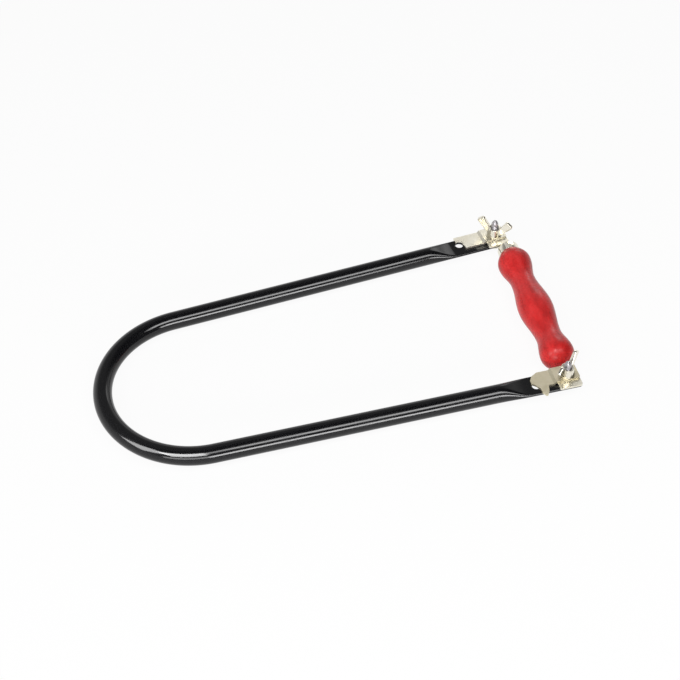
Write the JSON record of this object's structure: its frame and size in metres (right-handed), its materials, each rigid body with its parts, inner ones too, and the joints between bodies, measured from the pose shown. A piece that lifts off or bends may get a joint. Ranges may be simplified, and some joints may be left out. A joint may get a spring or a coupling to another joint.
{
  "type": "fret saw",
  "caption": "Deep-throat fret saw: a bent steel tube bow with a wing nut blade clamp at each end and a turned wooden handle that packs into the bow.",
  "frame": {"origin": "under the middle of the saw's box, at its lowest point, with the handle packed into the bow", "axes": "+X from the bend towards the open ends of the arms, +Y from the lower arm towards the upper arm that carries the handle, +Z towards the side with the wing nuts"},
  "size_m": [0.3278, 0.1668, 0.031],
  "materials": {
    "enamel": "gloss black stove enamel on steel tube",
    "nickel": "bright nickel plate on pressed steel",
    "lacquer": "gloss red lacquer on turned beech"
  },
  "bodies": {
    "bow": {"bow_frame": "enamel", "lower_base_jaw": "nickel", "lower_clamp_bolt": "nickel", "upper_base_jaw": "nickel", "upper_clamp_bolt": "nickel"},
    "lower_clamp": {"lower_clamp_plate": "nickel"},
    "lower_nut": {"lower_wing_nut": "nickel"},
    "upper_clamp": {"upper_clamp_plate": "nickel"},
    "upper_nut": {"upper_wing_nut": "nickel"},
    "handle": {"handle_tang": "nickel", "handle_ferrule": "nickel", "handle_grip": "lacquer"}
  },
  "joints": [
    {"name": "lower_clamp_lift", "type": "slide", "parent": "bow", "child": "lower_clamp", "axis": [0, 0, 1], "range_m": [0, 0.002]},
    {"name": "lower_nut_turn", "type": "hinge", "parent": "lower_clamp", "child": "lower_nut", "pos_m": [0.14212, -0.07145, 0.0168], "axis": [0, 0, 1], "range_deg": [0, 900]},
    {"name": "upper_clamp_lift", "type": "slide", "parent": "bow", "child": "upper_clamp", "axis": [0, 0, 1], "range_m": [0, 0.002]},
    {"name": "upper_nut_turn", "type": "hinge", "parent": "upper_clamp", "child": "upper_nut", "pos_m": [0.1473, 0.07391, 0.0168], "axis": [0, 0, 1], "range_deg": [0, 900]},
    {"name": "handle_swing", "type": "hinge", "parent": "bow", "child": "handle", "pos_m": [0.1473, 0.07391, 0.01065], "axis": [0, 0, 1], "range_deg": [0, 184]}
  ],
  "couplings": [
    {"joint": "lower_clamp_lift", "follows": "lower_nut_turn", "m_per_rad": 0.00012732},
    {"joint": "upper_clamp_lift", "follows": "upper_nut_turn", "m_per_rad": 0.00012732}
  ]
}
